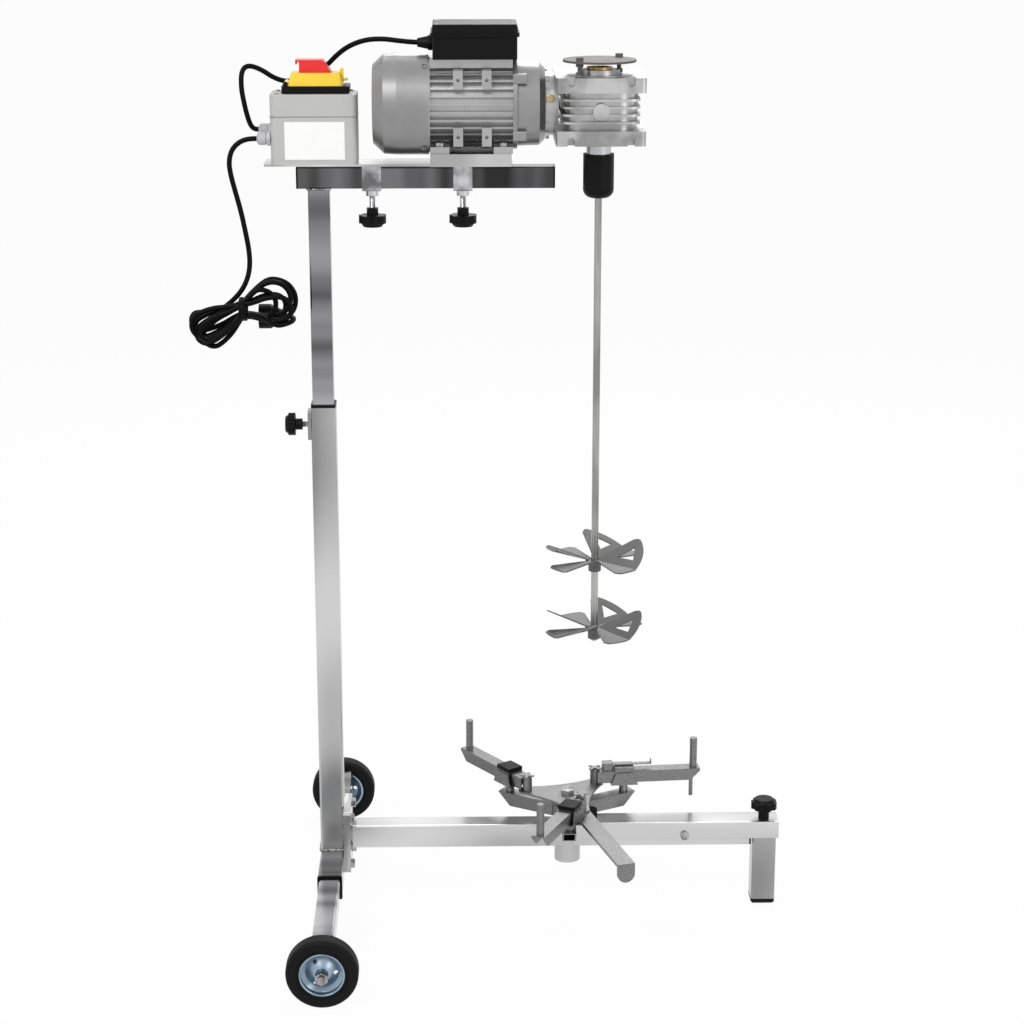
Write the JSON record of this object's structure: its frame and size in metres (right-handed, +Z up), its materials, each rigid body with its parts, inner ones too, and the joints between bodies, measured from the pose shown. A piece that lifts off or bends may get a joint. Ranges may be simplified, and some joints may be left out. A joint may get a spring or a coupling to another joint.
{
  "type": "honey stirrer",
  "caption": "Wheeled stirring stand: geared motor on a height-adjustable mast drives a bladed shaft above a self-centring bucket clamp.",
  "frame": {"origin": "centre of the footprint of the part without its cords, on the floor", "axes": "+X along the base beam from the mast to the foot, +Y across it away from the viewer, +Z up"},
  "size_m": [0.8402, 0.7084, 1.2971],
  "materials": {
    "zinc": "satin",
    "zinc_bright": "satin",
    "rim_zinc": "satin",
    "steel": "satin",
    "stainless": "satin",
    "bronze": "satin",
    "grey_paint": "satin",
    "cast_aluminium": "matte",
    "black_plastic": "matte",
    "tyre_rubber": "matte",
    "box_grey": "matte",
    "light_plastic": "matte",
    "yellow_plastic": "satin",
    "red_plastic": "satin",
    "green_plastic": "satin",
    "black_cord": "matte"
  },
  "bodies": {
    "frame": {"cross_sleeve": "zinc", "axle_tube": "zinc", "frame_bolts": "zinc_bright", "mast_outer": "zinc", "frame_liners": "black_plastic", "mast_flange": "zinc", "base_beam": "zinc", "clamp_boss": "zinc", "outer_beam": "zinc", "spider_arms": "zinc", "pivot_screws": "zinc_bright", "foot_channel": "zinc", "foot_post": "zinc", "foot_plug": "black_plastic"},
    "front_wheel": {"front_rim": "rim_zinc", "front_tyre": "tyre_rubber"},
    "rear_wheel": {"rear_rim": "rim_zinc", "rear_tyre": "tyre_rubber"},
    "channel_knob": {"channel_knob": "black_plastic"},
    "foot_knob": {"foot_knob": "black_plastic"},
    "upper": {"mast_inner": "zinc", "arm_tube": "zinc", "arm_caps": "black_plastic"},
    "mast_knob": {"mast_knob": "black_plastic"},
    "carriage": {"carriage_plate": "zinc", "carriage_collars": "zinc", "motor_housing": "grey_paint", "motor_cowl": "grey_paint", "motor_end_shield": "grey_paint", "terminal_box": "black_plastic", "terminal_lid": "black_plastic", "gearbox_housing": "cast_aluminium", "gearbox_covers": "cast_aluminium", "guard_disc": "steel", "control_box": "box_grey", "control_lid": "box_grey", "switch_plate": "black_plastic", "cable_glands": "light_plastic", "motor_lead": "black_cord", "mains_lead": "black_cord", "mains_hank": "black_cord", "mains_plug": "black_cord"},
    "left_collar_knob": {"left_collar_knob": "black_plastic"},
    "right_collar_knob": {"right_collar_knob": "black_plastic"},
    "rotor": {"motor_rotor": "steel"},
    "output": {"worm_wheel": "bronze", "chuck_body": "steel", "stir_shaft": "stainless", "impellers": "stainless"},
    "chuck_sleeve": {"chuck_sleeve": "black_plastic"},
    "stop_cover": {"stop_cover": "yellow_plastic"},
    "stop_button": {"stop_button": "red_plastic"},
    "start_button": {"start_button": "green_plastic"},
    "clamp_plate": {"clamp_plate": "zinc"},
    "right_grip_arm": {"right_grip_arm": "zinc"},
    "left_grip_arm": {"left_grip_arm": "zinc"},
    "front_grip_arm": {"front_grip_arm": "zinc"},
    "right_guide": {"right_guide": "zinc"},
    "left_guide": {"left_guide": "zinc"},
    "front_guide": {"front_guide": "zinc"}
  },
  "joints": [
    {"name": "front_wheel_spin", "type": "hinge", "parent": "frame", "child": "front_wheel", "pos_m": [-0.28825, -0.325, 0.05], "axis": [0, 1, 0], "continuous": true},
    {"name": "rear_wheel_spin", "type": "hinge", "parent": "frame", "child": "rear_wheel", "pos_m": [-0.28825, 0.325, 0.05], "axis": [0, 1, 0], "continuous": true},
    {"name": "foot_knob_turn", "type": "hinge", "parent": "frame", "child": "foot_knob", "pos_m": [0.35175, 0, 0.15], "axis": [0, 0, 1], "continuous": true},
    {"name": "channel_knob_turn", "type": "hinge", "parent": "frame", "child": "channel_knob", "pos_m": [0.09475, -0.004, 0.14], "axis": [0, 0, 1], "continuous": true},
    {"name": "mast_height", "type": "slide", "parent": "frame", "child": "upper", "axis": [0, 0, 1], "range_m": [-0.17, 0.2]},
    {"name": "mast_knob_turn", "type": "hinge", "parent": "frame", "child": "mast_knob", "pos_m": [-0.31825, 0, 0.738], "axis": [-1, 0, 0], "continuous": true},
    {"name": "carriage_reach", "type": "slide", "parent": "upper", "child": "carriage", "axis": [1, 0, 0], "range_m": [-0.03, 0.08]},
    {"name": "left_collar_knob_turn", "type": "hinge", "parent": "carriage", "child": "left_collar_knob", "pos_m": [-0.21525, 0, 1.04], "axis": [0, 0, -1], "continuous": true},
    {"name": "right_collar_knob_turn", "type": "hinge", "parent": "carriage", "child": "right_collar_knob", "pos_m": [-0.09025, 0, 1.04], "axis": [0, 0, -1], "continuous": true},
    {"name": "output_spin", "type": "hinge", "parent": "carriage", "child": "output", "pos_m": [0.09375, -0.05, 1.1871], "axis": [0, 0, 1], "continuous": true},
    {"name": "rotor_spin", "type": "hinge", "parent": "carriage", "child": "rotor", "pos_m": [0.09375, 0, 1.1871], "axis": [1, 0, 0], "continuous": true},
    {"name": "chuck_sleeve_turn", "type": "hinge", "parent": "output", "child": "chuck_sleeve", "pos_m": [0.09375, -0.05, 1.1], "axis": [0, 0, 1], "continuous": true},
    {"name": "stop_cover_hinge", "type": "hinge", "parent": "carriage", "child": "stop_cover", "pos_m": [-0.32975, 0, 1.2161], "axis": [0, -1, 0], "range_deg": [0, 110]},
    {"name": "stop_button_press", "type": "slide", "parent": "stop_cover", "child": "stop_button", "axis": [0, 0, -1], "range_m": [0, 0.004], "stiffness_N_per_m": 400},
    {"name": "start_button_press", "type": "slide", "parent": "carriage", "child": "start_button", "axis": [0, 0, -1], "range_m": [0, 0.0012], "stiffness_N_per_m": 400},
    {"name": "clamp_turn", "type": "hinge", "parent": "frame", "child": "clamp_plate", "pos_m": [0.05975, 0, 0.172], "axis": [0, 0, 1], "range_deg": [0, 22]},
    {"name": "right_arm_turn", "type": "hinge", "parent": "clamp_plate", "child": "right_grip_arm", "pos_m": [0.10212, 0.04388, 0.183], "axis": [0, 0, 1], "range_deg": [-35, 0]},
    {"name": "right_guide_turn", "type": "hinge", "parent": "frame", "child": "right_guide", "pos_m": [0.14546, 0.04751, 0.172], "axis": [0, 0, 1], "range_deg": [-13, 0]},
    {"name": "left_arm_turn", "type": "hinge", "parent": "clamp_plate", "child": "left_grip_arm", "pos_m": [0.00056, 0.01476, 0.183], "axis": [0, 0, 1], "range_deg": [-35, 0]},
    {"name": "left_guide_turn", "type": "hinge", "parent": "frame", "child": "left_guide", "pos_m": [-0.02425, 0.05047, 0.172], "axis": [0, 0, 1], "range_deg": [-13, 0]},
    {"name": "front_arm_turn", "type": "hinge", "parent": "clamp_plate", "child": "front_grip_arm", "pos_m": [0.07656, -0.05864, 0.183], "axis": [0, 0, 1], "range_deg": [-35, 0]},
    {"name": "front_guide_turn", "type": "hinge", "parent": "frame", "child": "front_guide", "pos_m": [0.05804, -0.09799, 0.172], "axis": [0, 0, 1], "range_deg": [-13, 0]}
  ],
  "couplings": [
    {"joint": "rotor_spin", "follows": "output_spin", "ratio": 30},
    {"joint": "right_arm_turn", "follows": "clamp_turn", "ratio": -1.59},
    {"joint": "right_guide_turn", "follows": "clamp_turn", "ratio": -0.59},
    {"joint": "left_arm_turn", "follows": "clamp_turn", "ratio": -1.59},
    {"joint": "left_guide_turn", "follows": "clamp_turn", "ratio": -0.59},
    {"joint": "front_arm_turn", "follows": "clamp_turn", "ratio": -1.59},
    {"joint": "front_guide_turn", "follows": "clamp_turn", "ratio": -0.59}
  ]
}
